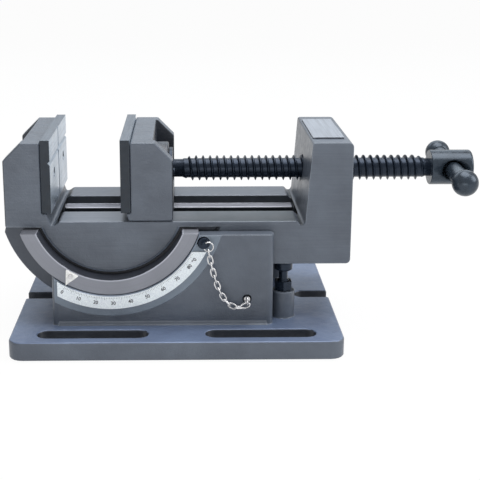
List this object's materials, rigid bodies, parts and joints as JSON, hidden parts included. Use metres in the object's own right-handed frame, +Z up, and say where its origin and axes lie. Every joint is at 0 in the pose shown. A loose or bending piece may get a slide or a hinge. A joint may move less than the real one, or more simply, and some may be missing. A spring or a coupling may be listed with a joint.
{
  "type": "tilting milling vise",
  "caption": "Milling vise whose body tilts in a slotted cradle base, with a screw-driven jaw, angle scale, index pin on a chain and jack screws.",
  "frame": {"origin": "centre of the base plate's underside", "axes": "+X along the bed towards the handle, +Y to the rear wall, +Z up; the scale faces -Y"},
  "size_m": [0.3276, 0.185, 0.139],
  "materials": {
    "casting_paint": "satin blue-grey paint over cast iron",
    "machined_iron": "machined, dull",
    "jaw_plate_steel": "ground faces",
    "black_oxide_steel": "black oxide, oily sheen",
    "scale_aluminium": "satin plate",
    "bright_zinc": "bright zinc plate",
    "nut_bronze": "turned bronze"
  },
  "bodies": {
    "base": {"base_casting": "casting_paint", "scale_plate": "scale_aluminium", "chain_anchor": "bright_zinc", "chain_link_01": "bright_zinc", "chain_link_02": "bright_zinc", "chain_link_03": "bright_zinc", "chain_link_04": "bright_zinc", "chain_link_05": "bright_zinc", "chain_link_06": "bright_zinc", "chain_link_07": "bright_zinc", "chain_link_08": "bright_zinc", "chain_link_09": "bright_zinc", "chain_link_10": "bright_zinc", "chain_link_11": "bright_zinc", "chain_link_12": "bright_zinc", "jack_lock_nut_front": "black_oxide_steel", "jack_lock_nut_rear": "black_oxide_steel"},
    "vise_body": {"vise_body_casting": "casting_paint", "front_rail_ring": "machined_iron", "rear_rail_ring": "machined_iron", "fixed_jaw_plate": "jaw_plate_steel", "fixed_jaw_screw_front": "jaw_plate_steel", "fixed_jaw_screw_rear": "jaw_plate_steel", "pointer": "scale_aluminium", "pointer_screw": "bright_zinc", "blank_plate": "scale_aluminium", "screw_nut": "nut_bronze"},
    "movable_jaw": {"movable_jaw_casting": "casting_paint", "movable_jaw_plate": "jaw_plate_steel", "movable_jaw_screw_front": "jaw_plate_steel", "movable_jaw_screw_rear": "jaw_plate_steel", "keeper_plate": "machined_iron", "keeper_bolt_left": "black_oxide_steel", "keeper_bolt_right": "black_oxide_steel", "thrust_plate": "black_oxide_steel", "thrust_screw_front": "black_oxide_steel", "thrust_screw_rear": "black_oxide_steel"},
    "screw": {"lead_screw": "black_oxide_steel", "screw_hub": "black_oxide_steel"},
    "handle": {"handle_bar": "black_oxide_steel", "handle_ball_front": "black_oxide_steel", "handle_ball_rear": "black_oxide_steel"},
    "index_pin": {"index_pin": "black_oxide_steel", "pin_ring": "bright_zinc"},
    "jack_pad_front": {"jack_pad_front": "black_oxide_steel"},
    "jack_screw_front": {"jack_screw_front": "black_oxide_steel"},
    "jack_pad_rear": {"jack_pad_rear": "black_oxide_steel"},
    "jack_screw_rear": {"jack_screw_rear": "black_oxide_steel"}
  },
  "joints": [
    {"name": "tilt", "type": "hinge", "parent": "base", "child": "vise_body", "pos_m": [-0.0448, 0, 0.0977], "axis": [0, -1, 0], "range_deg": [0, 90]},
    {"name": "jaw_slide", "type": "slide", "parent": "vise_body", "child": "movable_jaw", "axis": [1, 0, 0], "range_m": [-0.0463, 0.085]},
    {"name": "screw_spin", "type": "hinge", "parent": "movable_jaw", "child": "screw", "pos_m": [0.1972, 0, 0.1088], "axis": [1, 0, 0], "range_deg": [-3400, 6200]},
    {"name": "handle_slide", "type": "slide", "parent": "screw", "child": "handle", "axis": [0, -0.9988, -0.0489], "range_m": [-0.019, 0.019]},
    {"name": "index_pin_pull", "type": "slide", "parent": "base", "child": "index_pin", "axis": [0, -1, 0], "range_m": [-0.004, 0.016], "deforming": ["chain_link_01", "chain_link_02", "chain_link_03", "chain_link_04", "chain_link_05", "chain_link_06", "chain_link_07", "chain_link_08", "chain_link_09", "chain_link_10", "chain_link_11", "chain_link_12"]},
    {"name": "jack_front_lift", "type": "slide", "parent": "base", "child": "jack_pad_front", "axis": [0, 0, 1], "range_m": [-0.006, 0]},
    {"name": "jack_front_spin", "type": "hinge", "parent": "jack_pad_front", "child": "jack_screw_front", "pos_m": [0.0736, -0.043, 0.03], "axis": [0, 0, 1], "range_deg": [-1800, 10]},
    {"name": "jack_rear_lift", "type": "slide", "parent": "base", "child": "jack_pad_rear", "axis": [0, 0, 1], "range_m": [-0.006, 0]},
    {"name": "jack_rear_spin", "type": "hinge", "parent": "jack_pad_rear", "child": "jack_screw_rear", "pos_m": [0.0736, 0.043, 0.03], "axis": [0, 0, 1], "range_deg": [-1800, 10]}
  ],
  "couplings": [
    {"joint": "screw_spin", "follows": "jaw_slide", "rad_per_m": 1256.6},
    {"joint": "jack_front_spin", "follows": "jack_front_lift", "rad_per_m": 5026.5},
    {"joint": "jack_rear_spin", "follows": "jack_rear_lift", "rad_per_m": 5026.5}
  ]
}
